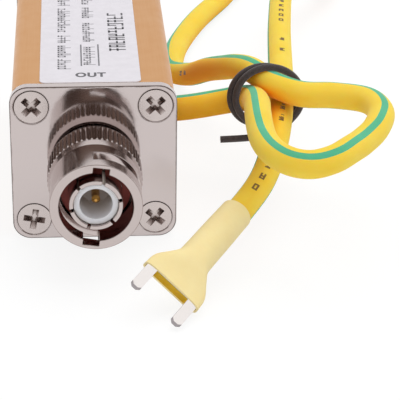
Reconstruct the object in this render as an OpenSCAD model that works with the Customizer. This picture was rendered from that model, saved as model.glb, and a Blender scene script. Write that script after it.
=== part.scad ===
// Coaxial lightning arrestor: a square extruded housing closed by two screwed end plates.
// A bayonet plug stands on the front plate and a bayonet jack on the rear plate. The surge
// parts sit on a board between them, and an earth wire leaves the side wall, is folded up
// in a tie and ends in a fork terminal. +Y runs from plug to jack, +Z is up.

/* [Housing] */
// Width and height of the extruded housing
housing_w = 26.2; // [25:0.1:30]
// Length of the extruded housing
housing_len = 54; // [44:0.5:80]
// Wall thickness of the extrusion
wall_t = 2.4; // [2:0.1:3]
// Outer corner radius of the extrusion
housing_corner_r = 1.6; // [0.8:0.1:2]
// How far the end plates stand proud of the housing on each side
plate_proud = 0.4; // [0.2:0.1:1]
// Thickness of the end plates
plate_t = 1.5; // [1.4:0.1:3]
// Corner radius of the end plates
plate_corner_r = 3; // [1:0.1:4]
// Width of the label on the housing's top
label_w = 16.4; // [10:0.1:20]
// Bare metal left ahead of the label and behind it
label_margin = 1; // [0.5:0.1:6]
// Thickness of the label
label_t = 0.1; // [0.08:0.01:0.3]
// How far the label was stuck on off centre
label_shift = 0.4; // [0:0.1:1]

/* [Fasteners] */
// Distance of the plate screws from the plate's edges
screw_inset = 3.5; // [3.3:0.1:3.7]
// Thread diameter of the plate screws
screw_d = 3; // [2.5:0.1:3.2]
// Head diameter of the plate screws
screw_head_d = 5.5; // [5:0.1:6]
// Length of the plate screws, head included
screw_len = 9; // [6:0.5:14]
// Width across the flats of the two inner nuts
nut_flats = 13; // [12:0.1:14]
// Thickness of the two inner nuts
nut_t = 2.5; // [2:0.1:3]
// Thickness of the lock washers under the inner nuts
lock_washer_t = 0.6; // [0.4:0.1:1]

/* [Plug] */
// How far the plug reaches ahead of the front plate
plug_reach = 16.5; // [16:0.1:19]
// Outer radius of the coupling nut's smooth barrel
nut_r = 7.27; // [7.1:0.01:7.35]
// Radius over the teeth of the coupling nut's grip
grip_r = 7.65; // [7.6:0.01:8]
// Radius of the coupling nut's front opening
mouth_r = 5.85; // [5.8:0.01:6.1]
// Length of the toothed grip
grip_len = 5; // [4:0.1:5.4]
// Number of teeth round the grip
grip_teeth = 58; // [40:1:72]
// Outer radius of the split outer contact
contact_r = 4.2; // [4.05:0.01:4.3]
// Wall of the split outer contact
contact_t = 0.65; // [0.5:0.05:0.8]
// Number of slots in the outer contact
contact_slots = 6; // [4:1:8]
// Radius of the centre pin
pin_r = 0.675; // [0.6:0.005:0.8]
// Travel of the coupling nut against its wave washer
nut_travel = 0.8; // [0.4:0.1:1]
// Angle of the first bayonet slot's entry, anticlockwise from the right
entry_angle = 82; // [0:1:180]
// Width of the bayonet slots and of their entries
bayonet_w = 2.6; // [2.2:0.1:2.8]
// Angle that each bayonet slot runs through
bayonet_span = 105; // [95:5:165]

/* [Jack] */
// How far the jack reaches behind the rear plate
jack_reach = 13.5; // [12.5:0.1:16]
// Outer radius of the jack's barrel
barrel_r = 4.8; // [4.75:0.01:4.85]
// Radius over the two bayonet lugs
lug_reach = 5.5; // [5.3:0.05:5.6]
// Distance of the lugs from the jack's open end
lug_back = 4.8; // [4:0.1:5.2]

/* [Board] */
// Thickness of the circuit board
board_t = 1.6; // [1:0.1:1.6]
// Radius of the gas tube
gas_tube_r = 4; // [3:0.1:4.5]
// Length of the gas tube
gas_tube_len = 6; // [5:0.1:8]

/* [Earth wire] */
// Outer radius of the earth wire
wire_r = 2.25; // [2:0.05:2.3]
// Radius of the wire's copper core
core_r = 1.2; // [0.8:0.05:1.4]
// Radius of the tie's cord
tie_r = 0.6; // [0.5:0.05:0.7]
// Distance between the fork's prongs, middle to middle
fork_pitch = 8.2; // [7.6:0.1:8.4]
// Width of each prong
prong_w = 1.8; // [1.4:0.1:2]
// Length of the prongs that stands out of the sleeve
prong_len = 4.7; // [4:0.1:6]
// Thickness of the fork's sheet
fork_t = 0.8; // [0.6:0.1:1]
// Wall of the shrunk sleeve
sleeve_t = 0.35; // [0.25:0.05:0.4]

/* [Hidden] */
$fn = 64;
// Clearances: loose fit, running fit and the lift between stacked curved faces
loose = 0.1;
running = 0.06;
touch = 0.01;
// How far a cutter reaches past the face it cuts
over = 1;

plate_w = housing_w + 2 * plate_proud;
axis_z = plate_w / 2;
overall_len = plug_reach + 2 * plate_t + housing_len + jack_reach;
face_y = plug_reach - overall_len / 2;
rear_y = face_y + 2 * plate_t + housing_len;
wall_x = housing_w / 2;
inner_half = wall_x - wall_t;
screw_half = plate_w / 2 - screw_inset;
boss_r = screw_d / 2 + 1.1;
head_h = (screw_head_d - screw_d) / 2;
head_land = 0.12;
recess_w = 1.05;
recess_len = 3.6;
recess_deep = 1.2;
recess_taper = 0.5;
front_screw_turns = [45, 42, 80, 50];
rear_screw_turns = [20, 65, 35, 10];

// Both connectors: a threaded stub through the plate, and a bore for the insulator
stub_r = 4.4;
stub_len = 8;
bore_r = 3;
cup_r = 1.2;
cup_len = 4.5;
cup_deep = 3;
cup_wall = 0.4;
tail_len = stub_len + 0.5;

// Plug, measured ahead of the front plate's face
shoulder_r = 6.6;
shoulder_t = 0.5;
neck_r = contact_r + 0.8;
mouth_deep = 7.5;
neck_end = plug_reach - mouth_deep;
seat_depth = 3;
nut_gap = 0.3;
nut_rear = shoulder_t + nut_gap;
thrust_t = 0.4;
ring_t = 0.8;
ring_back = 1;
ring_front = neck_end - ring_back;
ring_rear = ring_front - ring_t;
ring_r = mouth_r - 0.15;
groove_r = neck_r - 0.4;
ring_gap_w = 2.4;
spring_t = 0.3;
spring_spare = 0.2;
spring_waves = 3;
flange_end = ring_rear - spring_t - spring_spare - nut_travel - thrust_t;
gasket_t = 1.2;
contact_end = plug_reach - 0.6;
slot_w = 0.5;
slot_len = contact_end - neck_end - gasket_t - 0.3;
slot_start = 12;
insulator_r = contact_r - contact_t - 0.05;
insulator_end = contact_end - 0.6;
mouth_bore_r = 2.6;
mouth_bore_len = insulator_end - neck_end;
pin_back = 2.5;
pin_end = plug_reach - pin_back;
pin_tip = 0.5;
band_len = 1.5;
band_r = nut_r + 0.23;
rear_drop = 0.45;
grip_from = nut_rear + band_len;
grip_end = grip_from + grip_len;
tooth_h = 0.3;
tooth_in = 0.2;
tooth_back = 0.05;
entry_r = mouth_r + 0.8;
lip_t = 2.1;
ramp_drop = 1.6;
ramp_start = plug_reach - lip_t - bayonet_w / 2;
ramp_end = ramp_start - ramp_drop;
ramp_tilt = atan(ramp_drop / 2 / (nut_r * sin(bayonet_span / 2)));

// Jack, measured behind the rear plate's face
jack_flange_r = 7;
jack_flange_t = 1.6;
jack_bore_r = 4.1;
jack_bore_len = 8.7;
jack_nose_r = 2.4;
jack_nose_end = jack_reach - 2;
lug_r = 1;
lug_sunk = 0.4;
relief = 0.3;
collar_from = jack_reach - lug_back + lug_r + 0.2;
socket_r = 1.1;
socket_end = jack_nose_end - 0.4;
socket_deep = 5;
socket_slit = 0.3;

// Board: it slides in two grooves of the extrusion, and the contacts lie on top of it
groove_deep = 0.6;
board_half = inner_half + groove_deep - loose;
board_top = axis_z - cup_r;
board_setback = tail_len + 0.6;
board_front = face_y + board_setback;
board_back = rear_y - board_setback;
board_mid = (board_front + board_back) / 2;
diode_size = [4.4, 3.6, 2.3];
diode_gap = 9;
resistor_r = 1.2;
resistor_len = 6.5;
resistor_gap = 6;
part_back = 9;

// Earth wire: it leaves the right-hand wall here, square to it
exit_in = 2;
exit_at = [inner_half - exit_in, -4.5, axis_z];
grommet_wall = 1.05;
grommet_neck_r = wire_r + grommet_wall;
grommet_flange_r = wire_r + 2 * grommet_wall;
grommet_out = 1.2;
grommet_in = 0.8;
core_len = 4.5;
core_gap = 0.05;
core_lift = core_r - cup_r;
notch_room = 0.4;
notch_half = grommet_flange_r + notch_room;
notch_to = exit_at[0] - notch_room;

// Route of the wire's middle line: straight through the wall, then through the hank to the fork.
// The run's points are beside the housing, with x measured from the wall's outer face.
wire_run = [
    [4.9, -4.4, 13.8], [9.3, -4.6, 14.6], [12.9, -6.2, 15.9], [14.5, -9.6, 17.3],
    [14.7, -14.8, 18.6], [14.2, -21, 19.5], [13.8, -28, 20], [13.8, -35, 20.5],
    [14.9, -40.8, 20.9], [17.2, -44.8, 21.2], [20.2, -45.9, 21.3], [23.7, -43.8, 21.2],
    [26.7, -40.1, 21], [29.5, -36, 20.7], [32.5, -30.1, 20.3], [34.4, -23.3, 20.1],
    [33.1, -17, 19.7], [27.9, -14.2, 19.5], [22.4, -13.6, 19.6], [17.9, -10.4, 20.2],
    [14.9, -3.8, 20.2], [12.9, 3, 18.2], [11.2, 10, 15.3], [9.1, 19, 11.4],
    [6.6, 31, 5.7], [3.9, 40, 2.8], [4.4, 49, 2.35], [6.4, 58, 2.35],
    [10.9, 71, 2.35], [16.9, 84, 2.35], [21.4, 94.5, 2.35], [27.4, 103, 2.35],
    [35.9, 104.5, 2.4], [41.9, 97.5, 2.8], [41.3, 88, 4.6], [35.5, 77.5, 8.6],
    [29.1, 66, 11.8], [24.2, 34, 14.5], [19.5, -9, 15.3], [15.4, -25.5, 10.8],
    [9.3, -37.2, 8.4], [2.5, -46.9, 5.9]
];
function beside(p) = p + [wall_x, 0, 0];
wire_lead = [2.3, 5.9];
wire_route = concat(
    [exit_at], [for (d = wire_lead) exit_at + [d, 0, 0]], [for (p = wire_run) beside(p)]
);
wire_sides = 12;
wire_steps = 2;

// Tie: two round turns about the strands, the rear one slipped aside, then a straight tail
tie_mid = beside([17.81, -9, 17.66]);
tie_round = 5.48;
tie_slip = [-0.9, 0, -0.6];
tie_turns = 2;
tie_step = 20;
tie_start = 255;
tie_free = 60;
tie_tail = [for (p = [[19.5, -10.4, 11.9], [16.5, -10.6, 10.7], [13.4, -10.7, 10.3], [9, -10.8, 10.15]])
    beside(p)];

// Fork: its tips, the way it points, and the twist of the wire that turns it on edge
fork_tip = beside([-4.7, -57.2, 3.6]);
fork_heading = 235;
fork_dip = 12;
fork_roll = -38;
yoke_in = 0.9;
yoke_len = 1.5;
neck_from = -9.8;
barrel_back = -12.7;
crimp_r = 2;
sleeve_sides = 24;
// Sleeve: distance behind the tips, half width, half height and roundness of each section
sleeve_rear = [[-25, 2.65, 2.65, 1], [-19, 2.75, 2.75, 1], [-13.5, 2.8, 2.7, 1]];
sleeve_front = [
    [-11.2, 2.95, 2.55, 0.95], [-9.2, 3.95, 2.15, 0.75], [-7, 5.2, 1.5, 0.55], [-4.7, 5.45, 1.15, 0.5]
];
sleeve_sections = concat(sleeve_rear, sleeve_front);

// Places with their own axes: z runs out of the front plate, or out of the rear plate
module on_front() translate([0, face_y, axis_z]) rotate([90, 0, 0]) children();
module on_rear() translate([0, rear_y, axis_z]) rotate([-90, 0, 0]) children();
module at_fork() {
    translate(fork_tip) rotate([0, 0, fork_heading]) rotate([0, fork_dip, 0])
        rotate([fork_roll, 0, 0]) children();
}

module at_screws() {
    places = screw_half * [[-1, 1], [1, 1], [-1, -1], [1, -1]];
    for (i = [0 : 3]) {
        $place = i;
        translate(places[i]) children();
    }
}

module rounded_square(w, r) {
    square([w - 2 * r, w], center = true);
    square([w, w - 2 * r], center = true);
    for (x = [-1, 1], y = [-1, 1]) translate([x, y] * (w / 2 - r)) circle(r);
}

module ring(r_in, r_out, h) {
    difference() {
        cylinder(r = r_out, h = h);
        translate([0, 0, -over]) cylinder(r = r_in, h = h + 2 * over);
    }
}

// Extrusion with a screw channel in each corner and a card groove in each side wall
module housing_section() {
    board_drop = board_top - board_t / 2 - axis_z;
    difference() {
        rounded_square(housing_w, housing_corner_r);
        difference() {
            square(2 * inner_half, center = true);
            at_screws() circle(boss_r);
        }
        at_screws() circle(screw_d / 2 + running);
        translate([0, board_drop])
            square([2 * (inner_half + groove_deep), board_t + 2 * loose], center = true);
    }
}

module housing() color("#D2A36C") {
    difference() {
        translate([0, rear_y - plate_t, axis_z]) rotate([90, 0, 0])
            linear_extrude(housing_len) housing_section();
        translate([inner_half - over, exit_at[1], exit_at[2]]) rotate([0, 90, 0])
            cylinder(r = grommet_neck_r, h = wall_t + 2 * over);
    }
}

module label() color("#E2DEE4") {
    label_len = housing_len - 2 * label_margin;
    label_r = 1;
    top = axis_z + wall_x;
    translate([-label_shift, face_y + plate_t + housing_len / 2, top])
        linear_extrude(label_t) {
            square([label_w - 2 * label_r, label_len], center = true);
            square([label_w, label_len - 2 * label_r], center = true);
            for (x = [-1, 1], y = [-1, 1])
                translate([x * (label_w / 2 - label_r), y * (label_len / 2 - label_r)]) circle(label_r);
        }
}

// End plate with its outer face at z = 0, countersunk for the screws
module end_plate() {
    difference() {
        translate([0, 0, -plate_t]) linear_extrude(plate_t) rounded_square(plate_w, plate_corner_r);
        translate([0, 0, -plate_t - over]) cylinder(r = stub_r + loose, h = plate_t + 2 * over);
        at_screws() {
            translate([0, 0, -plate_t - over]) cylinder(r = screw_d / 2 + loose, h = plate_t + 2 * over);
            translate([0, 0, -head_h - head_land]) cylinder(
                r1 = screw_d / 2 + running, r2 = screw_head_d / 2 + running + head_land + over,
                h = head_h + head_land + over);
        }
    }
}

module front_plate() color("#C8BEBC") on_front() end_plate();
module rear_plate() color("#C8BEBC") on_rear() end_plate();

// Outline of a cut that narrows from its width at the face to its bottom
module recess_section(w) {
    bottom = w / 2 * recess_taper;
    top = bottom + (w / 2 - bottom) * (recess_deep + over) / recess_deep;
    polygon([[-top, over], [top, over], [bottom, -recess_deep], [-bottom, -recess_deep]]);
}

// Countersunk screw with a cross recess, head face at z = 0
module plate_screw(turn) {
    difference() {
        union() {
            translate([0, 0, -head_land]) cylinder(d = screw_head_d, h = head_land);
            translate([0, 0, -head_h - head_land])
                cylinder(r1 = screw_d / 2, r2 = screw_head_d / 2, h = head_h);
            translate([0, 0, -screw_len]) cylinder(d = screw_d, h = screw_len - head_h);
        }
        for (a = [0, 90]) rotate(turn + a) intersection() {
            rotate([90, 0, 90]) linear_extrude(screw_head_d, center = true) recess_section(recess_w);
            rotate([90, 0, 0]) linear_extrude(screw_head_d, center = true) recess_section(recess_len);
        }
    }
}

module front_screws() color("#C9C3C0") on_front() at_screws() plate_screw(front_screw_turns[$place]);
module rear_screws() color("#C9C3C0") on_rear() at_screws() plate_screw(rear_screw_turns[$place]);

// Turned body: stub, shoulder, neck with the ring groove, and the outer contact's seat
module plug_body() color("#C4BBB2") on_front() rotate_extrude() polygon([
    [bore_r, -stub_len], [stub_r, -stub_len], [stub_r, 0], [shoulder_r, 0],
    [shoulder_r, shoulder_t], [neck_r, shoulder_t], [neck_r, ring_rear],
    [groove_r, ring_rear], [groove_r, ring_front], [neck_r, ring_front],
    [neck_r, neck_end], [contact_r, neck_end], [contact_r, neck_end - seat_depth],
    [bore_r, neck_end - seat_depth]
]);

module lock_washer() {
    tab_w = 1;
    tab_in = 0.6;
    tab_out = 0.3;
    translate([0, 0, -plate_t - lock_washer_t]) difference() {
        ring(stub_r + loose, nut_flats / 2 + tab_out, lock_washer_t);
        for (a = [0 : 45 : 315]) rotate(a) translate([nut_flats / 2 - tab_in, -tab_w / 2, -over])
            cube([tab_in + tab_out + over, tab_w, lock_washer_t + 2 * over]);
    }
}

module hex_nut() {
    translate([0, 0, -plate_t - lock_washer_t - nut_t]) difference() {
        cylinder(d = nut_flats / cos(30), h = nut_t, $fn = 6);
        translate([0, 0, -over]) cylinder(r = stub_r + running, h = nut_t + 2 * over);
    }
}

module plug_lock_washer() color("#B9B4AC") on_front() lock_washer();
module plug_nut() color("#C4BBB2") on_front() hex_nut();
module jack_lock_washer() color("#B9B4AC") on_rear() lock_washer();
module jack_nut() color("#C4BBB2") on_rear() hex_nut();

// Split spring tube pressed into the plug body
module plug_outer_contact() color("#CFC8C0") on_front() {
    seat = neck_end - seat_depth;
    difference() {
        translate([0, 0, seat]) ring(contact_r - contact_t, contact_r, contact_end - seat);
        for (i = [0 : contact_slots - 1]) rotate(slot_start + i * 360 / contact_slots)
            translate([0, -slot_w / 2, contact_end - slot_len])
                cube([contact_r + over, slot_w, slot_len + over]);
    }
}

module plug_insulator() color("#F2F1F4") on_front() rotate_extrude() polygon([
    [pin_r + running, -stub_len], [bore_r - running, -stub_len],
    [bore_r - running, neck_end - seat_depth], [insulator_r, neck_end - seat_depth],
    [insulator_r, insulator_end], [mouth_bore_r, insulator_end],
    [mouth_bore_r, insulator_end - mouth_bore_len], [pin_r + running, insulator_end - mouth_bore_len]
]);

// Solder cup at the inner end of a contact, open at the top, lying on the board
module solder_cup() {
    translate([0, 0, -tail_len - cup_len]) difference() {
        cylinder(r = cup_r, h = cup_len);
        translate([0, 0, -over]) cylinder(r = cup_r - cup_wall, h = cup_deep + over);
    }
}

module plug_pin() color("#C9962E") on_front() {
    solder_cup();
    rotate_extrude() polygon([
        [0, -tail_len - touch], [pin_r, -tail_len - touch], [pin_r, pin_end - pin_tip],
        [pin_r / 3, pin_end], [0, pin_end]
    ]);
}

module plug_gasket() color("#7A2A20") on_front()
    translate([0, 0, neck_end]) ring(contact_r + running, mouth_r - 0.25, gasket_t);

// Toothed grip: a ring of triangular teeth cut back at both ends, set between two plain bands
module nut_grip() {
    step = 360 / grip_teeth;
    root = grip_r - tooth_h;
    teeth = [for (i = [0 : grip_teeth - 1], k = [0, 1])
        (k == 0 ? grip_r : root) * [cos((i + k / 2) * step), sin((i + k / 2) * step)]];
    low = band_r - tooth_in - tooth_back;
    rise = grip_r + over - low;
    intersection() {
        translate([0, 0, grip_from - tooth_in]) linear_extrude(grip_len + 2 * tooth_in) polygon(teeth);
        rotate_extrude() polygon([
            [0, grip_from - tooth_in], [low, grip_from - tooth_in],
            [low + rise, grip_from - tooth_in + rise], [low + rise, grip_end + tooth_in - rise],
            [low, grip_end + tooth_in], [0, grip_end + tooth_in]
        ]);
    }
}

// Turned body of the nut: it tapers from each end of the grip, and runs on as a smooth barrel
module nut_barrel() {
    core = grip_r - 2 * tooth_h;
    rotate_extrude() polygon([
        [0, nut_rear], [band_r - rear_drop, nut_rear], [band_r, grip_from], [core, grip_from],
        [core, grip_end], [band_r, grip_end], [nut_r, grip_end + band_len], [nut_r, plug_reach],
        [0, plug_reach]
    ]);
}

// Cutter for one bayonet slot: a tilted slab kept to the slot's angle, so that it ramps back
module bayonet_cutter() {
    far = 4 * grip_r;
    half = bayonet_span / 2;
    rotate(-half) intersection() {
        linear_extrude(plug_reach) polygon([
            [0, 0], far * [cos(half), -sin(half)], far * [1, -1], far * [1, 1],
            far * [cos(half), sin(half)]
        ]);
        translate([0, 0, (ramp_start + ramp_end) / 2]) rotate([ramp_tilt, 0, 0])
            translate([0, -far / 2, -bayonet_w / 2]) cube([far, far, bayonet_w]);
    }
}

module coupling_nut() color("#C4BBB2") on_front() {
    difference() {
        union() {
            nut_grip();
            nut_barrel();
        }
        translate([0, 0, nut_rear - over]) cylinder(r = neck_r + running, h = plug_reach);
        translate([0, 0, flange_end]) cylinder(r = mouth_r, h = plug_reach);
        for (a = [0, 180]) rotate(entry_angle + a) {
            translate([mouth_r - over, -bayonet_w / 2, ramp_start])
                cube([entry_r - mouth_r + over, bayonet_w, plug_reach]);
            rotate(asin(bayonet_w / 2 / nut_r)) bayonet_cutter();
        }
    }
}

module thrust_washer() color("#B9B4AC") on_front()
    translate([0, 0, flange_end]) ring(neck_r + running, ring_r, thrust_t);

// Spring washer bent in waves between the thrust washer and the retaining ring
module wave_ring() {
    count = 12 * spring_waves;
    low = flange_end + thrust_t;
    amp = (ring_rear - low - spring_t) / 2;
    mid = low + amp;
    function level(i) = mid + (amp - touch) * cos(spring_waves * 360 * i / count);
    function place(i, r, lift) = [r * cos(360 * i / count), r * sin(360 * i / count), level(i) + lift];
    r_in = neck_r + loose;
    points = [for (i = [0 : count - 1]) each [
        place(i, r_in, 0), place(i, ring_r, 0), place(i, ring_r, spring_t), place(i, r_in, spring_t)]];
    faces = [for (i = [0 : count - 1], k = [0 : 3]) let (j = (i + 1) % count)
        [4 * i + k, 4 * i + (k + 1) % 4, 4 * j + (k + 1) % 4, 4 * j + k]];
    polyhedron(points, faces);
}

module wave_washer() color("#B9B4AC") on_front() wave_ring();

module retaining_ring() color("#8E8A84") on_front() difference() {
    translate([0, 0, ring_rear]) ring(groove_r + running, ring_r, ring_t);
    translate([0, -ring_gap_w / 2, ring_rear - over]) cube([ring_r + over, ring_gap_w, ring_t + 2 * over]);
}

// Turned jack: stub, flange and barrel in one piece, with two bayonet lugs
module jack_body() color("#C4BBB2") on_rear() {
    rim = 0.4;
    rotate_extrude() polygon([
        [bore_r, -stub_len], [stub_r, -stub_len], [stub_r, 0], [jack_flange_r, 0],
        [jack_flange_r, jack_flange_t], [barrel_r - relief, jack_flange_t],
        [barrel_r - relief, collar_from], [barrel_r, collar_from], [barrel_r, jack_reach - rim],
        [barrel_r - rim, jack_reach], [jack_bore_r, jack_reach],
        [jack_bore_r, jack_reach - jack_bore_len], [bore_r, jack_reach - jack_bore_len]
    ]);
    for (a = [0, 180]) rotate([0, 0, a]) translate([0, 0, jack_reach - lug_back]) rotate([0, 90, 0])
        translate([0, 0, barrel_r - relief - lug_sunk])
            cylinder(r = lug_r, h = lug_reach - barrel_r + relief + lug_sunk);
}

module jack_insulator() color("#F2F1F4") on_rear() rotate_extrude() polygon([
    [socket_r + running, -stub_len], [bore_r - running, -stub_len],
    [bore_r - running, jack_reach - jack_bore_len], [jack_nose_r, jack_reach - jack_bore_len],
    [jack_nose_r, jack_nose_end], [socket_r + running, jack_nose_end]
]);

module jack_contact() color("#C9962E") on_rear() {
    solder_cup();
    difference() {
        translate([0, 0, -tail_len - touch]) cylinder(r = socket_r, h = socket_end + tail_len + touch);
        translate([0, 0, socket_end - socket_deep]) cylinder(r = pin_r + running, h = socket_deep + over);
        translate([-socket_r - over, -socket_slit / 2, socket_end - socket_deep])
            cube([2 * (socket_r + over), socket_slit, socket_deep + over]);
    }
}

module circuit_board() color("#2E6B3F") difference() {
    translate([-board_half, board_front, board_top - board_t])
        cube([2 * board_half, board_back - board_front, board_t]);
    translate([notch_to, exit_at[1] - notch_half, board_top - board_t - over])
        cube([board_half, 2 * notch_half, board_t + 2 * over]);
}

// Gas tube: a ceramic drum between two metal caps, lying across the board
module gas_tube() color("#D9D2C6") {
    cap_t = 0.8;
    waist = 0.3;
    translate([0, board_mid - part_back, board_top + gas_tube_r]) rotate([0, 90, 0]) rotate_extrude()
        polygon([
            [0, -gas_tube_len / 2], [gas_tube_r, -gas_tube_len / 2],
            [gas_tube_r, cap_t - gas_tube_len / 2], [gas_tube_r - waist, cap_t - gas_tube_len / 2],
            [gas_tube_r - waist, gas_tube_len / 2 - cap_t], [gas_tube_r, gas_tube_len / 2 - cap_t],
            [gas_tube_r, gas_tube_len / 2], [0, gas_tube_len / 2]
        ]);
}

module clamp_diodes() color("#2B2B2D")
    for (side = [-1, 1])
        translate([side * diode_gap / 2 - diode_size[0] / 2, board_mid + part_back, board_top])
            cube(diode_size);

module series_resistors() color("#6D8FA8")
    for (side = [-1, 1]) translate([side * resistor_gap / 2, board_mid, board_top + resistor_r])
        rotate([-90, 0, 0]) cylinder(r = resistor_r, h = resistor_len);

// Rubber bush in the side wall, held by a flange on each face
module wire_grommet() color("#2A2A2C") {
    translate([0, exit_at[1], exit_at[2]]) rotate([0, 90, 0]) rotate_extrude() polygon([
        [wire_r + loose / 2, inner_half - grommet_in], [grommet_flange_r, inner_half - grommet_in],
        [grommet_flange_r, inner_half], [grommet_neck_r, inner_half], [grommet_neck_r, wall_x],
        [grommet_flange_r, wall_x], [grommet_flange_r - 0.6, wall_x + grommet_out],
        [wire_r + loose / 2, wall_x + grommet_out]
    ]);
}

module wire_core() color("#B87333")
    translate([exit_at[0] - core_len, exit_at[1], exit_at[2] + core_lift]) rotate([0, 90, 0])
        cylinder(r = core_r, h = core_len - core_gap);

// Smooth curve through the points of a list, and a tube swept along such a curve
function end_point(p, i) = i < 0 ? 2 * p[0] - p[1]
    : i >= len(p) ? 2 * p[len(p) - 1] - p[len(p) - 2] : p[i];
function spline_at(p, i, t) = let (
        a = end_point(p, i - 1), b = p[i], c = end_point(p, i + 1), d = end_point(p, i + 2)
    ) 0.5 * (2 * b + t * (c - a) + t * t * (2 * a - 5 * b + 4 * c - d)
        + t * t * t * (3 * b - a - 3 * c + d));
function smooth(p, steps) = [for (i = [0 : len(p) - 2], k = [0 : steps - 1]) spline_at(p, i, k / steps),
    p[len(p) - 1]];
function unit(v) = v / norm(v);

module tube(path, r, sides, up) {
    n = len(path);
    function along(i) = unit(path[min(i + 1, n - 1)] - path[max(i - 1, 0)]);
    points = [for (i = [0 : n - 1]) let (t = along(i), u = unit(cross(up, t)), v = cross(t, u))
        for (k = [0 : sides - 1]) path[i] + r * (cos(360 * k / sides) * u + sin(360 * k / sides) * v)];
    walls = [for (i = [0 : n - 2], k = [0 : sides - 1]) let (j = (k + 1) % sides)
        [i * sides + k, (i + 1) * sides + k, (i + 1) * sides + j, i * sides + j]];
    first = [for (k = [0 : sides - 1]) k];
    last = [for (k = [0 : sides - 1]) n * sides - 1 - k];
    polyhedron(points, concat([first], walls, [last]));
}

module earth_wire() color("#F4C83C") tube(smooth(wire_route, wire_steps), wire_r, wire_sides, [0, 0, 1]);

module wire_tie() color("#3A3334") {
    pitch = 2 * tie_r + loose;
    total = 360 * tie_turns;
    turns = [for (a = [0 : tie_step : total - tie_free]) let (way = tie_start - a)
        tie_mid + (1 - a / total) * tie_slip
            + [tie_round * cos(way), pitch * (0.5 * tie_turns - a / 360), tie_round * sin(way)]];
    tube(concat(turns, tie_tail), tie_r, 8, [0, 1, 0.01]);
}

// Shrunk sleeve: round over the wire, pressed flat and wide over the fork's yoke
function swell(v, power) = sign(v) * pow(abs(v), power);
module sleeve_loft(shrink) {
    n = len(sleeve_sections);
    reach = shrink > 0 ? over : 0;
    points = [for (i = [0 : n - 1], k = [0 : sleeve_sides - 1]) let (
            s = sleeve_sections[i], a = 360 * k / sleeve_sides,
            x = s[0] + (i == 0 ? -reach : i == n - 1 ? reach : 0)
        ) [x, (s[1] - shrink) * swell(cos(a), s[3]), (s[2] - shrink) * swell(sin(a), s[3])]];
    walls = [for (i = [0 : n - 2], k = [0 : sleeve_sides - 1]) let (j = (k + 1) % sleeve_sides)
        [i * sleeve_sides + k, (i + 1) * sleeve_sides + k, (i + 1) * sleeve_sides + j, i * sleeve_sides + j]];
    first = [for (k = [0 : sleeve_sides - 1]) k];
    last = [for (k = [0 : sleeve_sides - 1]) n * sleeve_sides - 1 - k];
    polyhedron(points, concat([first], walls, [last]));
}

module fork_sleeve() color("#EEDEA5") at_fork() difference() {
    sleeve_loft(0);
    sleeve_loft(sleeve_t);
}

// Stamped fork: two prongs on a yoke, with a barrel crimped on the wire
module fork_terminal() color("#DCD8D8") at_fork() {
    half = fork_pitch / 2;
    outer = half + prong_w / 2;
    inner = half - prong_w / 2;
    nose = 0.5;
    taper = 0.6;
    yoke_front = -prong_len - yoke_in;
    yoke_back = yoke_front - yoke_len;
    prong = [
        [-nose, inner], [0, inner + nose], [0, outer - nose], [-nose, outer],
        [-prong_len, outer], [yoke_back, outer - taper], [yoke_back, inner]
    ];
    translate([0, 0, -fork_t / 2]) linear_extrude(fork_t) {
        for (side = [-1, 1]) polygon([for (p = prong) [p[0], side * p[1]]]);
        polygon([
            [yoke_front, -half], [yoke_front, half], [yoke_back, outer - taper],
            [neck_from, crimp_r], [barrel_back + over, crimp_r], [barrel_back + over, -crimp_r],
            [neck_from, -crimp_r], [yoke_back, taper - outer]
        ]);
    }
    translate([barrel_back, 0, 0]) rotate([0, 90, 0]) cylinder(r = crimp_r, h = neck_from - barrel_back);
}

housing();
label();
front_plate();
rear_plate();
front_screws();
rear_screws();
plug_body();
plug_lock_washer();
plug_nut();
plug_outer_contact();
plug_insulator();
plug_pin();
plug_gasket();
coupling_nut();
thrust_washer();
wave_washer();
retaining_ring();
jack_body();
jack_lock_washer();
jack_nut();
jack_insulator();
jack_contact();
circuit_board();
gas_tube();
clamp_diodes();
series_resistors();
wire_grommet();
wire_core();
earth_wire();
wire_tie();
fork_sleeve();
fork_terminal();
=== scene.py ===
import random
from math import ceil, copysign, cos, pi, radians, sin

import bpy
from mathutils import Matrix, Vector


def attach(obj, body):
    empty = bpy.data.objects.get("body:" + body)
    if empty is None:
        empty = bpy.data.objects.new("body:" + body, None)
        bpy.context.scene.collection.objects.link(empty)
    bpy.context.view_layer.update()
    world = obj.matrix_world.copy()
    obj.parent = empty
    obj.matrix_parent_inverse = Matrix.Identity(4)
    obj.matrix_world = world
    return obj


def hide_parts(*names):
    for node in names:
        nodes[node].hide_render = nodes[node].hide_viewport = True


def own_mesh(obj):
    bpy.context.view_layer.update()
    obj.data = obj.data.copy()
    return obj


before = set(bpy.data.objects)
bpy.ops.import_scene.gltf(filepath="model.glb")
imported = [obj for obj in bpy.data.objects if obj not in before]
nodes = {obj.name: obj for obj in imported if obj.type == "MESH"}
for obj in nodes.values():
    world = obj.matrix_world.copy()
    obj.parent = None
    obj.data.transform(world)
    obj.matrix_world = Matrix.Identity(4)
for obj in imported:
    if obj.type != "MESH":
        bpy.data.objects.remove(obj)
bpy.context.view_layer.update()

# Camera: a long lens held above the plug's end, a little to its left, as the photo was taken.
# Its place was fitted to the plate, screws, label and nut seen in the photo.
scene = bpy.context.scene
elevation, turn, roll = radians(25.83), radians(4.54), radians(0.89)
aim_point = Vector((0.01742, -0.027, 0.00643))
aim_distance = 0.2905
ahead = Vector((sin(turn) * cos(elevation), cos(turn) * cos(elevation), -sin(elevation)))
level = Vector((cos(turn), -sin(turn), 0))
above = level.cross(ahead)
across = cos(roll) * level + sin(roll) * above
upward = cos(roll) * above - sin(roll) * level
lens = bpy.data.cameras.new("camera")
lens.sensor_fit = "HORIZONTAL"
lens.sensor_width = 36
lens.lens = 157.7
camera = bpy.data.objects.new("camera", lens)
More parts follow.
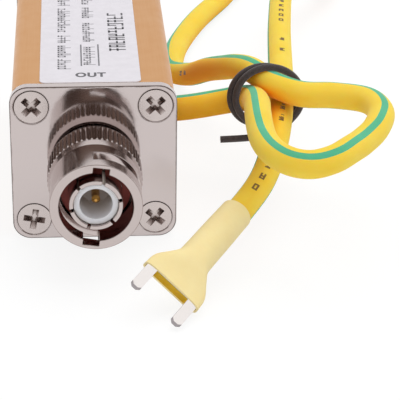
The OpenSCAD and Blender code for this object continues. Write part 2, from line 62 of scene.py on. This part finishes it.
camera.matrix_world = (Matrix.Translation(aim_point - aim_distance * ahead)
                       @ Matrix((across, upward, -ahead)).transposed().to_4x4())
scene.collection.objects.link(camera)
scene.camera = camera
scene.view_settings.view_transform = "Standard"

# Earth wire: stranded copper in extruded PVC, yellow with two green stripes run in on opposite
# sides. It leaves the box through a grommet, is folded back in a hank and ends in a sleeve.
mm = 0.001
wire_radius = 2.25 * mm
wire_route = [
    (8.7, -4.5, 13.5), (11, -4.5, 13.5), (14.6, -4.5, 13.5), (18, -4.4, 13.8),
    (22.4, -4.6, 14.6), (26, -6.2, 15.9), (27.6, -9.6, 17.3), (27.8, -14.8, 18.6),
    (27.3, -21, 19.5), (26.9, -28, 20), (26.9, -35, 20.5), (28, -40.8, 20.9),
    (30.3, -44.8, 21.2), (33.3, -45.9, 21.3), (36.8, -43.8, 21.2), (39.8, -40.1, 21),
    (42.6, -36, 20.7), (45.6, -30.1, 20.3), (47.5, -23.3, 20.1), (46.2, -17, 19.7),
    (41, -14.2, 19.5), (35.5, -13.6, 19.6), (31, -10.4, 20.2), (28, -3.8, 20.2),
    (26, 3, 18.2), (24.3, 10, 15.3), (22.2, 19, 11.4), (19.7, 31, 5.7),
    (17, 40, 2.8), (17.5, 49, 2.35), (19.5, 58, 2.35), (24, 71, 2.35),
    (30, 84, 2.35), (34.5, 94.5, 2.35), (40.5, 103, 2.35), (49, 104.5, 2.4),
    (55, 97.5, 2.8), (54.4, 88, 4.6), (48.6, 77.5, 8.6), (42.2, 66, 11.8),
    (37.3, 34, 14.5), (32.6, -9, 15.3), (28.5, -25.5, 10.8), (22.4, -37.2, 8.4),
    (15.6, -46.9, 5.9),
]
# How far the first stripe leans from the wire's top at each point of the route, in degrees
stripe_lean = [
    0, 0, 0, 0, 0, 6, 16, 18, 14, 12, 12, 18, 28, 32, 30, 26, 22, 18, 13, 14,
    20, 16, 2, -16, -24, -20, -8, 0, -20, -38, -46, -48, -48, -50, -58, -66, -76, -86, -94, -98,
    -100, -104, -114, -122, -126,
]
wire_sides = 48
wire_steps = 8
stripe_faces = 4
crease = radians(35)


def smooth(points, steps):
    """Points of a smooth curve through the given ones, with so many steps between two of them."""
    p = [Vector(q) for q in points]
    p = [2 * p[0] - p[1], *p, 2 * p[-1] - p[-2]]
    curve = []
    for a, b, c, d in zip(p, p[1:], p[2:], p[3:]):
        for k in range(steps):
            t = k / steps
            curve.append(0.5 * (2 * b + t * (c - a) + t * t * (2 * a - 5 * b + 4 * c - d)
                                + t ** 3 * (3 * b - a - 3 * c + d)))
    return [*curve, p[-2]]


def tube(path, radius, sides, up=(0, 0, 1), lean=None):
    """Rings of points round a path, each starting at its upper side plus its lean."""
    rings = []
    for i, middle in enumerate(path):
        along = (path[min(i + 1, len(path) - 1)] - path[max(i - 1, 0)]).normalized()
        side = along.cross(Vector(up)).normalized()
        top = side.cross(along)
        start = lean[i] if lean else 0
        angles = [start + 2 * pi * k / sides for k in range(sides)]
        rings.append([middle + radius * (cos(a) * top + sin(a) * side) for a in angles])
    return rings


def skin(rings, closed=True):
    """Quads between neighbouring rings of points, and a face over each end when closed."""
    n = len(rings[0])
    faces = [(i * n + k, i * n + (k + 1) % n, (i + 1) * n + (k + 1) % n, (i + 1) * n + k)
             for i in range(len(rings) - 1) for k in range(n)]
    if closed:
        faces += [tuple(range(n))[::-1], tuple(range(len(rings) * n - n, len(rings) * n))]
    return [p for ring in rings for p in ring], faces


def colour(text):
    """The linear colour of an sRGB hex text."""
    parts = [int(text[i:i + 2], 16) / 255 for i in (1, 3, 5)]
    return (*[p / 12.92 if p <= 0.04045 else ((p + 0.055) / 1.055) ** 2.4 for p in parts], 1)


def feed(tree, node, inputs):
    """Set a node's inputs to values, or link them to other nodes' outputs."""
    for key, value in dict(inputs).items():
        if isinstance(value, bpy.types.NodeSocket):
            tree.links.new(value, node.inputs[key])
        else:
            node.inputs[key].default_value = value


def add(tree, kind, inputs=(), **settings):
    """A new node with its settings and inputs."""
    made = tree.nodes.new("ShaderNode" + kind)
    for key, value in settings.items():
        setattr(made, key, value)
    feed(tree, made, inputs)
    return made


def material(name):
    """A new material with nodes, and its tree and shader."""
    made = bpy.data.materials.new(name)
    made.use_nodes = True
    return made, made.node_tree, made.node_tree.nodes["Principled BSDF"]


def painted_shade_closed_in(tree, open_colour, shade_colour, reach):
    """Painted shade: a colour turned to the shade colour where surfaces within reach close it in.
    """
    sky = add(tree, "AmbientOcclusion", {"Distance": reach}, samples=8).outputs["AO"]
    clear = add(tree, "MapRange", {"Value": sky, "From Min": 0.3, "From Max": 0.8})
    tone = add(tree, "Mix", {"Factor": clear.outputs["Result"], "A": colour(shade_colour),
                             "B": open_colour}, data_type="RGBA")
    return tone.outputs["Result"]


def moulded(name, base, deep, roughness, cloud, grain, relief, shade_colour=None, reach=4 * mm, depth=()):
    """A plastic, rubber, ink or cloth: a colour that drifts from base to deep over patches of the
    cloud's size, a fine grain that breaks up its highlight, and patches glossier than others."""
    made, tree, shader = material(name)
    where = add(tree, "TexCoord").outputs["Object"]
    drift = add(tree, "TexNoise", {"Vector": where, "Scale": 1 / cloud, "Detail": 3}).outputs["Fac"]
    share = add(tree, "MapRange", {"Value": drift, "From Min": 0.3, "From Max": 0.7})
    mix = add(tree, "Mix", {"Factor": share.outputs["Result"], "A": colour(base),
                            "B": colour(deep)}, data_type="RGBA")
    gloss = add(tree, "MapRange", {"Value": drift, "To Min": roughness - 0.06,
                                   "To Max": roughness + 0.06})
    fine = add(tree, "TexNoise", {"Vector": where, "Scale": 1 / grain, "Detail": 2}).outputs["Fac"]
    bump = add(tree, "Bump", {"Height": fine, "Strength": relief, "Distance": 0.2 * grain})
    tone = mix.outputs["Result"]
    # Painted shade: where other surfaces close the surface in, its colour turns to the shade
    # colour.
    if shade_colour:
        tone = painted_shade_closed_in(tree, tone, shade_colour, reach)
    feed(tree, shader, {"Base Color": tone, "Roughness": gloss.outputs["Result"],
                        "Normal": bump.outputs["Normal"], **dict(depth)})
    return made


def piece(name, points, faces, materials, stands_for=()):
    """A mesh on the root body, smooth but for edges sharper than the crease."""
    mesh = bpy.data.meshes.new(name)
    mesh.from_pydata([tuple(p) for p in points], [], faces)
    for m in materials:
        mesh.materials.append(m)
    mesh.shade_smooth()
    mesh.set_sharp_from_angle(angle=crease)
    made = bpy.data.objects.new(name, mesh)
    scene.collection.objects.link(made)
    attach(made, "root")
    if stands_for:
        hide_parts(*stands_for)
    return made


# Soft PVC has a waxy sheen without a sharp highlight. Where strands, the box and the floor close
# the wire in, its yellow is painted orange: painted shade standing for light bounced between them.
pvc_depth = {"Subsurface Weight": 0.4, "Subsurface Radius": (1.0, 0.45, 0.05),
             "Subsurface Scale": 1.5 * mm, "Specular IOR Level": 0.0, "Sheen Weight": 0.25,
             "Sheen Roughness": 0.4, "Sheen Tint": colour("#FFF4C8")}
pvc_skin = {"roughness": 0.4, "cloud": 6 * mm, "grain": 0.25 * mm, "relief": 0.08,
            "depth": pvc_depth}
yellow_pvc = moulded("yellow_pvc_extruded", "#FCDA58", "#FAD34A", shade_colour="#F8A616", reach=16 * mm,
                     **pvc_skin)
green_pvc = moulded("green_pvc_stripe", "#60BE98", "#57B68F", **pvc_skin)
wire_path = smooth([Vector(p) * mm for p in wire_route], wire_steps)
lean_path = [p.x for p in smooth([(radians(a), 0, 0) for a in stripe_lean], wire_steps)]
wire_points, wire_faces = skin(tube(wire_path, wire_radius, wire_sides, lean=lean_path))
earth_wire = piece("earth_wire_pvc", wire_points, wire_faces, [yellow_pvc, green_pvc],
                   ["earth_wire"])
for face in earth_wire.data.polygons[: (len(wire_path) - 1) * wire_sides]:
    k = (face.index % wire_sides + stripe_faces // 2) % (wire_sides // 2)
    face.material_index = 1 if k < stripe_faces else 0
stations = [0.0]
for a, b in zip(wire_path, wire_path[1:]):
    stations.append(stations[-1] + (b - a).length)

# Wire print: groups of plain strokes along the wire, jetted on in brown ink between the stripes.
# The ink lies dull and thin on the PVC, so that its tone is uneven.
brown_ink = moulded("brown_ink_jetted", "#5A3D0C", "#8A6416", roughness=0.55, cloud=0.35 * mm,
                    grain=0.1 * mm, relief=0.05)
mark_pitch, mark_long, stroke = 3.2 * mm, 1.5 * mm, 0.36 * mm
print_lift = 0.012 * mm
# Half a mark's height, the thickness of a stroke along the wire and the widest strip, in degrees
mark_half, long_stroke, widest_strip = 11, 8, 6
# Where a mark's strokes may lie: across the wire, as shares of its length, and along it, in degrees
across_shares, along_angles = (0, 0.4, 0.8), (-mark_half, -3, 5)
# Where each group starts along the wire in millimetres, its marks, and its angle from the stripe
print_groups = [
    (154, 2, -82), (314, 5, 92), (338.6, 1, 92), (344.6, 1, 92), (367.2, 3, 92), (382.4, 4, 96),
]
strokes = random.Random(11)
ink_points, ink_faces = [], []


def on_wire(distance, angle):
    """The point just off the wire's skin at a distance along it and an angle from its stripe."""
    i = max(j for j in range(len(stations) - 1) if stations[j] <= distance)
    t = (distance - stations[i]) / (stations[i + 1] - stations[i])
    middle = wire_path[i].lerp(wire_path[i + 1], t)
    along = (wire_path[i + 1] - wire_path[i]).normalized()
    side = along.cross(Vector((0, 0, 1))).normalized()
    a = lean_path[i] + t * (lean_path[i + 1] - lean_path[i]) + radians(angle)
    return middle + (wire_radius + print_lift) * (cos(a) * side.cross(along) + sin(a) * side)


def wire_patch(first, last, low, high):
    """A printed patch of the wire's skin between two distances and two angles, in narrow strips."""
    strips = ceil((high - low) / widest_strip)
    for k in range(strips):
        a, b = (low + (high - low) * j / strips for j in (k, k + 1))
        start = len(ink_points)
        corners = (first, a), (last, a), (last, b), (first, b)
        ink_points.extend(on_wire(distance, angle) for distance, angle in corners)
        ink_faces.append((start, start + 1, start + 2, start + 3))


for group_start, marks, line in print_groups:
    for mark in range(marks):
        at = group_start * mm + mark * mark_pitch
        for share in strokes.sample(across_shares, 2):
            begin = at + share * mark_long
            wire_patch(begin, begin + stroke, line - mark_half, line + mark_half)
        for low in strokes.sample(along_angles, 2):
            wire_patch(at, at + mark_long, line + low, line + low + long_stroke)
wire_print = piece("wire_print", ink_points, ink_faces, [brown_ink])

# Tie: soft round cord wound twice round the hank and drawn tight, with one square-cut tail.
# Dull and almost black; its fine braid shows only as a rough edge to its highlight.
tie_radius, tie_sides, tie_steps = 0.6 * mm, 20, 3
tie_middle = Vector((30.91, -9, 17.66))
# How far the first turn's start lies off the last turn's middle
tie_slip = Vector((-1.7, 0, -0.6))
# The turns' radius and pitch in millimetres
tie_round, tie_pitch = 5.48, 1.3
# Where the turns start, two whole turns, how much of them the tail takes, and the step, in degrees
tie_start, tie_whole, tie_free, tie_step = 255, 720, 60, 20
tie_tail = [(32.6, -10.4, 11.9), (29.6, -10.6, 10.7), (26.5, -10.7, 10.3), (22.1, -10.8, 10.15)]
tie_route = []
for angle in range(0, tie_whole - tie_free + 1, tie_step):
    way = radians(tie_start - angle)
    spoke = Vector((tie_round * cos(way), tie_pitch * (1 - angle / 360), tie_round * sin(way)))
    tie_route.append(tie_middle + (1 - angle / tie_whole) * tie_slip + spoke)
tie_cord = moulded("black_cord_braided", "#2C2526", "#463C3C", roughness=0.6, cloud=0.3 * mm,
                   grain=0.16 * mm, relief=0.4, depth={"Sheen Weight": 0.2})
tie_path = smooth([Vector(p) * mm for p in tie_route + tie_tail], tie_steps)
tie_points, tie_faces = skin(tube(tie_path, tie_radius, tie_sides, up=(0, 1, 0)))
wire_tie = piece("tie_cord", tie_points, tie_faces, [tie_cord], ["wire_tie"])

# Sleeve: heat-shrunk tube, round over the wire and pressed flat and wide over the fork's yoke.
# Thin pale-yellow plastic, matt and a little translucent; its yellow lining shows at the mouth.
fork_tip = Vector((8.4, -57.2, 3.6)) * mm
fork_heading, fork_dip, fork_roll = radians(235), radians(12), radians(-38)
at_fork = (Matrix.Translation(fork_tip) @ Matrix.Rotation(fork_heading, 4, "Z")
           @ Matrix.Rotation(fork_dip, 4, "Y") @ Matrix.Rotation(fork_roll, 4, "X"))
# Each section's place along the fork from its tips, half width, half height and roundness
sleeve_sections = [
    (-25, 2.65, 2.65, 1), (-19, 2.75, 2.75, 1), (-13.5, 2.8, 2.7, 1), (-11.2, 2.95, 2.55, 0.95),
    (-9.2, 3.95, 2.15, 0.75), (-7, 5.2, 1.5, 0.55), (-4.7, 5.45, 1.15, 0.5),
]
sleeve_wall = 0.35
sleeve_sides, sleeve_steps = 64, 6


def sleeve_rings(inset):
    """Rings of points through the sleeve's sections, drawn in by the given wall."""
    shape = smooth([s[:3] for s in sleeve_sections], sleeve_steps)
    roundness = [v.x for v in smooth([(s[3], 0, 0) for s in sleeve_sections], sleeve_steps)]
    rings = []
    for (x, half_width, half_height), power in zip(shape, roundness):
        rings.append([])
        for k in range(sleeve_sides):
            c, s = cos(2 * pi * k / sleeve_sides), sin(2 * pi * k / sleeve_sides)
            y = (half_width - inset) * copysign(abs(c) ** power, c)
            z = (half_height - inset) * copysign(abs(s) ** power, s)
            rings[-1].append(at_fork @ (Vector((x, y, z)) * mm))
    return rings


outer_rings = sleeve_rings(0)
inner_rings = sleeve_rings(sleeve_wall)
sleeve_points, sleeve_faces = skin(outer_rings + inner_rings[::-1] + [outer_rings[0]], closed=False)
thin_wall = {"Subsurface Weight": 0.1, "Subsurface Radius": (1.0, 0.8, 0.4),
             "Subsurface Scale": 0.3 * mm, "Specular IOR Level": 0.2}
shrink = moulded("pale_yellow_shrink_tube", "#FAE5A8", "#FCE9AE", roughness=0.55, cloud=2.5 * mm,
                 grain=0.8 * mm, relief=0.15, depth=thin_wall)
lining = moulded("yellow_sleeve_lining", "#F0C832", "#E8BC22", roughness=0.5, cloud=2 * mm,
                 grain=0.4 * mm, relief=0.1, depth=thin_wall)
fork_sleeve = piece("shrink_sleeve", sleeve_points, sleeve_faces, [shrink, lining],
                    ["fork_sleeve"])
for face in fork_sleeve.data.polygons:
    face.material_index = 1 if face.index >= len(outer_rings) * sleeve_sides else 0

# Fork: stamped from sheet and tinned, with a barrel crimped on the wire's strands in the sleeve.
# Tin scatters light softly; the cut edges are rougher, and their darker grey is painted shade.
axis_height = 13.5 * mm
rubbed_patch = 3 * mm
# How far the metals' painted shade looks for surfaces that close them in
recess = 0.7 * mm


def stand_in(name, node, cover):
    """A piece of the root body with a CAD piece's own mesh, shown in its place."""
    made = bpy.data.objects.new(name, nodes[node].data.copy())
    made.matrix_world = nodes[node].matrix_world
    made.data.materials.clear()
    made.data.materials.append(cover)
    scene.collection.objects.link(made)
    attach(made, "root")
    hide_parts(node)
    return made


def metal(name, base, roughness, wear, grain, relief, edge, marks="even", shade_colour=None, line=None):
    """Plated or bare metal: rubbed patches that change the sharpness of reflections, marks left by
    the tool (even, drawn along the length or turned about the connectors' axis), edges broken by a
    small radius and, where a shade colour is given, painted shade where other surfaces close it in.
    A line colour paints a thin dark line, a painted reflection, round the edges of the end faces."""
    made, tree, shader = material(name)
    where = add(tree, "TexCoord").outputs["Object"]
    lay = where
    if marks == "drawn":
        lay = add(tree, "VectorMath", {0: where, 1: (1, 0.01, 1)}, operation="MULTIPLY").outputs[0]
    if marks == "turned":
        split = add(tree, "SeparateXYZ", {0: where}).outputs
        high = add(tree, "Math", {0: split["Z"], 1: axis_height}, operation="SUBTRACT").outputs[0]
        spoke = add(tree, "CombineXYZ", {"X": split["X"], "Z": high}).outputs[0]
        radius = add(tree, "VectorMath", {0: spoke}, operation="LENGTH").outputs["Value"]
        lay = add(tree, "CombineXYZ", {"X": radius, "Y": split["Y"]}).outputs[0]
    rubbed = add(tree, "TexNoise", {"Vector": where, "Scale": 1 / rubbed_patch, "Detail": 5})
    rubbed = rubbed.outputs["Fac"]
    fine = add(tree, "TexNoise", {"Vector": lay, "Scale": 1 / grain, "Detail": 2}).outputs["Fac"]
    both = add(tree, "Math", {0: rubbed, 1: fine}, operation="ADD").outputs[0]
    rough = add(tree, "MapRange", {"Value": both, "From Min": 0.7, "From Max": 1.3,
                                   "To Min": roughness - wear, "To Max": roughness + wear})
    worn = add(tree, "MapRange", {"Value": rubbed, "From Min": 0.35, "From Max": 0.65,
                                  "To Min": 0.6 * edge, "To Max": 1.1 * edge}).outputs["Result"]
    broken = add(tree, "Bevel", {"Radius": worn}, samples=8).outputs["Normal"]
    bump = add(tree, "Bump", {"Height": fine, "Strength": relief, "Distance": 0.2 * grain,
                              "Normal": broken})
    tint = colour(base)
    # Painted shade where other surfaces close the metal in.
    if shade_colour:
        tint = painted_shade_closed_in(tree, tint, shade_colour, recess)
    # Painted reflection: a dark line round the edges of the end faces.
    if line:
        flat = add(tree, "NewGeometry").outputs["True Normal"]
        lies = add(tree, "VectorMath", {0: broken, 1: flat}, operation="DOT_PRODUCT")
        rim = add(tree, "MapRange", {"Value": lies.outputs["Value"], "From Min": 0.96,
                                     "From Max": 0.84})
        lengthwise = add(tree, "SeparateXYZ", {0: flat}).outputs["Y"]
        end_face = add(tree, "Math", {0: lengthwise}, operation="ABSOLUTE").outputs[0]
        painted_edge_line = add(tree, "Math", {0: rim.outputs["Result"], 1: end_face}, operation="MULTIPLY")
        tone = add(tree, "Mix", {"Factor": painted_edge_line.outputs[0], "A": tint, "B": colour(line)},
                   data_type="RGBA")
        tint = tone.outputs["Result"]
    feed(tree, shader, {"Base Color": tint, "Metallic": 1.0, "Roughness": rough.outputs["Result"],
                        "Normal": bump.outputs["Normal"]})
    return made


tinned = metal("tinned_sheet_stamped", "#F2ECE9", roughness=0.42, wear=0.08, grain=0.3 * mm,
               relief=0.15, edge=0.15 * mm)
# The cut side faces: rougher tin, painted a darker grey as painted shade.
rough_shaded_edge = metal("tinned_edge_rough_painted_shade", "#A8A1A3", roughness=0.5, wear=0.08, grain=0.2 * mm,
                relief=0.3, edge=0.1 * mm)
fork = stand_in("fork_tinned", "fork_terminal", tinned)
fork.data.materials.append(rough_shaded_edge)
sheet_normal = fork.matrix_world.inverted().to_3x3() @ at_fork.to_3x3() @ Vector((0, 0, 1))
for face in fork.data.polygons:
    face.material_index = 0 if abs(face.normal.dot(sheet_normal)) > 0.5 else 1
# The wire and its fork are kept out of mirror images, so that the end plate stays clear.
for hung in (earth_wire, wire_print, fork_sleeve, fork):
    hung.visible_glossy = False


# Grommet: moulded black rubber bush that keeps the wire off the edge of its hole.
# Matt, with the grain of its mould.
def finish(cover, *names):
    """Give CAD pieces their material."""
    for name in names:
        nodes[name].data.materials.clear()
        nodes[name].data.materials.append(cover)


rubber = moulded("black_rubber_moulded", "#1E1C1C", "#262324", roughness=0.6, cloud=1 * mm,
                 grain=0.3 * mm, relief=0.2)
finish(rubber, "wire_grommet")

# Housing: extruded aluminium tube, brushed along its length and anodised satin gold.
# The fine lines stretch its highlights across the walls; they are drawn coarse enough to show.
# Where other surfaces close it in, as by the end plates, its gold is painted brown: painted shade.
gold = metal("aluminium_gold_anodised", "#D09A62", roughness=0.34, wear=0.06, grain=0.12 * mm,
             relief=0.25, edge=0.25 * mm, marks="drawn", shade_colour="#8A4E14")
finish(gold, "housing")

# Label: white film with a satin face, stuck on the housing and printed in dark grey with three
# lines of plain bars, a frame round part of the middle one and the word OUT.
film = moulded("white_film_satin", "#DDD9DF", "#E4E0E6", roughness=0.45, cloud=1.5 * mm,
               grain=0.3 * mm, relief=0.06)
finish(film, "label")
# The inks are dull and a little uneven on the film.
grey_ink = moulded("grey_ink_printed", "#5E5C62", "#7C7A80", roughness=0.5, cloud=0.3 * mm,
                   grain=0.1 * mm, relief=0.05)
dark_ink = moulded("dark_ink_printed", "#454348", "#67656A", roughness=0.5, cloud=0.4 * mm,
                   grain=0.1 * mm, relief=0.05)
grey, dark = 0, 1
label_top = 26.71
plate_face = -27
bars, bar_faces, bar_inks = [], [], []


def bar(x0, x1, y0, y1, ink):
    """One printed rectangle on the label, in millimetres, with y measured from the plate's face."""
    start = len(bars)
    corners = (x0, y0), (x1, y0), (x1, y1), (x0, y1)
    bars.extend(Vector((x, y + plate_face, label_top)) * mm for x, y in corners)
    bar_faces.append((start, start + 1, start + 2, start + 3))
    bar_inks.append(ink)


letters = random.Random(5)
# Heights of the upright strokes and of the cross strokes, as shares of the line's height
small, capital = ((0.6, 0.6, 1), (0, 0.25, 0.5)), ((1, 1, 0.55), (0, 0.44, 0.88))
# Places of the upright strokes, a mark's room and a cross stroke's length, as shares of the pitch
stems = ((0,), (0, 0.5), (0, 0.5), (0.25,))
mark_room, arm_long = 0.8, 0.5
# A cross stroke's thickness, as a share of the line's height
arm_thick = 0.12
# Each line's edges across the label, its stretches of print, and the pitch, stroke, ink and form of
# its marks
for x0, x1, words, pitch, weight, ink, (tops, levels) in (
    (-5.7, -3.5, ((8.4, 13), (13.8, 19.6), (20.6, 25), (25.8, 38.5), (39.5, 50)),
     0.95, 0.17, grey, small),
    (-1.4, 0.6, ((10.2, 19), (21, 31.2), (32.8, 39), (40, 50)), 0.95, 0.17, grey, small),
    (3, 5.8, ((16.4, 35.8),), 1.75, 0.4, dark, capital),
):
    high = x1 - x0
    for first, last in words:
        y = first
        while y + mark_room * pitch < last:
            for stem in letters.choice(stems):
                top = letters.choice(tops)
                bar(x0, x0 + top * high, y + stem * pitch, y + stem * pitch + weight, ink)
            for arm in letters.sample(levels, 2):
                bar(x0 + arm * high, x0 + (arm + arm_thick) * high,
                    y, y + arm_long * pitch + weight, ink)
            y += pitch
frame_sides, frame_thick, frame_ends = (-1.9, 1.0), 0.25, (9.7, 19.6)
for x in frame_sides:
    bar(x, x + frame_thick, *frame_ends, grey)
label_print = piece("label_print", bars, bar_faces, [grey_ink, dark_ink])
for face, ink in zip(label_print.data.polygons, bar_inks):
    face.material_index = ink
word = bpy.data.curves.new("label_out", "FONT")
word.body = "OUT"
word.size = 2.5 * mm
word.offset = 0.11 * mm
word.space_character = 1.12
word.align_x = "CENTER"
word.materials.append(dark_ink)
word_x, word_y, word_narrow = -0.35, 4.9, 0.87
label_out = bpy.data.objects.new("label_out", word)
label_out.matrix_world = (Matrix.Translation(Vector((word_x, word_y + plate_face, label_top)) * mm)
                          @ Matrix.Diagonal((word_narrow, 1, 1, 1)))
scene.collection.objects.link(label_out)
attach(label_out, "root")

# End plates: blanked sheet, polished and nickel plated, with broken edges round which a dark line
# is painted, a painted reflection. They mirror the nut almost sharply, with small rubbed patches.
nickel = metal("nickel_plate_polished", "#C8BDBB", roughness=0.09, wear=0.02, grain=1.2 * mm,
               relief=0.02, edge=0.6 * mm, line="#3C2E27")
finish(nickel, "front_plate", "rear_plate")

# Plate screws: cold-headed, nickel plated, with a stamped cross recess painted dark: painted shade.
# A thin dark gap is left round each countersunk head.
screw_nickel = metal("nickel_screw_headed", "#CCC1BE", roughness=0.25, wear=0.06, grain=0.3 * mm,
                     relief=0.1, edge=0.12 * mm, shade_colour="#6A5C54")
finish(screw_nickel, "front_screws", "rear_screws")

# Plug, coupling nut and jack: turned brass with bright nickel on it.
# The lathe's ring marks, drawn coarse enough to show, draw each reflection out round the axis;
# grooves and slots are painted darker as painted shade, and end faces get a painted dark edge line.
turned = metal("nickel_brass_turned", "#C4B8B5", roughness=0.14, wear=0.04, grain=0.1 * mm,
               relief=0.07, edge=0.25 * mm, marks="turned", shade_colour="#85766D", line="#8A7A74")
finish(turned, "plug_body", "plug_nut", "plug_outer_contact", "coupling_nut", "jack_body",
       "jack_nut")

# Washers and ring behind the coupling nut and in the box: blanked spring steel, plain and oiled.
# A dull even grey with fine blanking grain.
spring = metal("spring_steel_blanked", "#A8A39C", roughness=0.35, wear=0.08, grain=0.15 * mm,
               relief=0.2, edge=0.05 * mm)
finish(spring, "plug_lock_washer", "jack_lock_washer", "thrust_washer", "retaining_ring")
# The wave washer is shown by a piece of its own, with its own copy of the CAD mesh.
wave_washer = stand_in("wave_washer_spring", "wave_washer", spring)
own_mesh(wave_washer)

# Contacts: turned pin and socket, gold plated.
# Warm and soft, with ring marks under the plating.
# Where other surfaces close them in, the gold is painted dark brown: painted shade.
contact_gold = metal("gold_plated_contact", "#C2924A", roughness=0.26, wear=0.06, grain=0.1 * mm,
                     relief=0.1, edge=0.08 * mm, marks="turned", shade_colour="#6A4A22")
finish(contact_gold, "plug_pin", "jack_contact")

# Insulators: turned white fluoropolymer, waxy and a little translucent.
# Faint cloudiness and tool marks keep its face from looking like paint.
waxy = {"Subsurface Weight": 0.4, "Subsurface Radius": (1, 1, 1), "Subsurface Scale": 1 * mm}
# In the bore, where the insulator is closed in, its white is painted greyer: painted shade.
white = moulded("white_fluoropolymer_turned", "#E9EAF1", "#F0F0F5", roughness=0.42,
                cloud=0.6 * mm, grain=0.2 * mm, relief=0.1, shade_colour="#D2C8C0", depth=waxy)
finish(white, "plug_insulator", "jack_insulator")

# Gasket: moulded dark-red silicone ring at the bottom of the plug.
# Dull, with a trace of dust.
silicone = moulded("red_silicone_moulded", "#7A2C24", "#88362C", roughness=0.5, cloud=0.8 * mm,
                   grain=0.2 * mm, relief=0.15)
finish(silicone, "plug_gasket")

# Board and surge parts inside the box: laminate under green mask, glazed ceramic, moulded epoxy,
# dipped enamel and bare copper strands. They show only when the box is opened: the mask, glaze and
# enamel smooth and shiny, the epoxy dull, the copper warm and rough.
mask = moulded("green_mask_on_laminate", "#1F6B3C", "#195B32", roughness=0.35, cloud=1 * mm,
               grain=0.25 * mm, relief=0.12)
finish(mask, "circuit_board")
ceramic = moulded("tube_ceramic_glazed", "#D9D2C6", "#CFC7B8", roughness=0.3, cloud=1.5 * mm,
                  grain=0.3 * mm, relief=0.08)
finish(ceramic, "gas_tube")
epoxy = moulded("black_epoxy_moulded", "#232325", "#2B2B2E", roughness=0.5, cloud=0.8 * mm,
                grain=0.15 * mm, relief=0.25)
finish(epoxy, "clamp_diodes")
enamel = moulded("blue_enamel_dipped", "#6D8FA8", "#62839C", roughness=0.3, cloud=1.2 * mm,
                 grain=0.4 * mm, relief=0.1)
finish(enamel, "series_resistors")
copper = metal("copper_strands_bare", "#C77F4F", roughness=0.35, wear=0.08, grain=0.2 * mm,
               relief=0.25, edge=0.05 * mm)
finish(copper, "wire_core")


# Studio: a pale paper floor, white all round, a broad soft light overhead and a small one in front.
# Two cloth boards behind the camera, seen in reflections alone, give polished metal its dark bands.
def seen_itself(tree):
    """1 for what is seen by the camera, in a mirror or through glass, 0 for light on its way."""
    ray = add(tree, "LightPath").outputs
    seen = add(tree, "Math", {0: ray["Is Camera Ray"], 1: ray["Is Glossy Ray"]},
               operation="MAXIMUM").outputs[0]
    return add(tree, "Math", {0: seen, 1: ray["Is Transmission Ray"]},
               operation="MAXIMUM").outputs[0]


def facing(middle, way):
    """The place of a flat thing at the given middle that faces the given way."""
    return Matrix.Translation(middle) @ Vector(way).to_track_quat("Z", "Y").to_matrix().to_4x4()


def stage_plane(name, middle, way, wide, high, cover):
    """A flat stage piece."""
    mesh = bpy.data.meshes.new(name)
    x, y = wide / 2, high / 2
    mesh.from_pydata([(-x, -y, 0), (x, -y, 0), (x, y, 0), (-x, y, 0)], [], [(0, 1, 2, 3)])
    mesh.materials.append(cover)
    made = bpy.data.objects.new(name, mesh)
    made.matrix_world = facing(middle, way)
    scene.collection.objects.link(made)
    return made


world = bpy.data.worlds.new("studio")
scene.world = world
world.use_nodes = True
tree = world.node_tree
tree.nodes.clear()
dim = add(tree, "Background", {"Color": colour("#FFFFFF"), "Strength": 0.55})
bright = add(tree, "Background", {"Color": colour("#FFFFFF"), "Strength": 1.0})
sky = add(tree, "MixShader", {0: seen_itself(tree), 1: dim.outputs[0], 2: bright.outputs[0]})
add(tree, "OutputWorld", {"Surface": sky.outputs[0]})

# Paper: matt and even, white to the eye, with the object's shadow left faint on it.
paper, tree, shader = material("paper_floor_pale")
feed(tree, shader, {"Base Color": colour("#F4F4F4"), "Roughness": 0.8})
own_white = 0.8
share = add(tree, "Math", {0: seen_itself(tree), 1: own_white}, operation="MULTIPLY")
glow = add(tree, "Emission", {"Color": colour("#FFFFFF"), "Strength": 1.05})
sheet = add(tree, "MixShader", {0: share.outputs[0], 1: shader.outputs[0], 2: glow.outputs[0]})
feed(tree, tree.nodes["Material Output"], {"Surface": sheet.outputs[0]})
floor_wide = 8
stage_plane("floor", (0, 0, 0), (0, 0, 1), floor_wide, floor_wide, paper)

# Backdrop cloth: felted and quite matt, an even brown in the mirror images.
felt = {"roughness": 0.9, "cloud": 200 * mm, "grain": 10 * mm, "relief": 0.1}
cloth = moulded("brown_backdrop_cloth", "#A69286", "#B09C90", **felt)
shade = moulded("dark_backdrop_cloth", "#605048", "#6B5A51", **felt)
backdrop_y, backdrop_wide = -1.2, 2.2
# Each board's middle above the floor, its height and its cloth
for name, middle_z, high, cover in (("wall_front", 0.72, 0.52, cloth),
                                    ("table_front", 0.255, 0.41, shade)):
    upright = stage_plane(name, (0, backdrop_y, middle_z), (0, 1, 0), backdrop_wide, high, cover)
    upright.visible_camera = False
    upright.visible_diffuse = False
    upright.visible_shadow = False

# Each soft light's place, the point it faces, its width, height and watts
for name, middle, target, wide, high, watts in (
    ("light_top", (0.25, 0.2, 0.9), (0, 0, 0), 0.9, 0.9, 5),
    ("light_front", (-0.1, -0.9, 0.62), (0, 0, 0.01), 0.4, 0.2, 1.2),
):
    lamp = bpy.data.lights.new(name, "AREA")
    lamp.shape = "RECTANGLE"
    lamp.size, lamp.size_y, lamp.energy = wide, high, watts
    light = bpy.data.objects.new(name, lamp)
    light.matrix_world = facing(middle, Vector(middle) - Vector(target))
    light.visible_glossy = False
    scene.collection.objects.link(light)
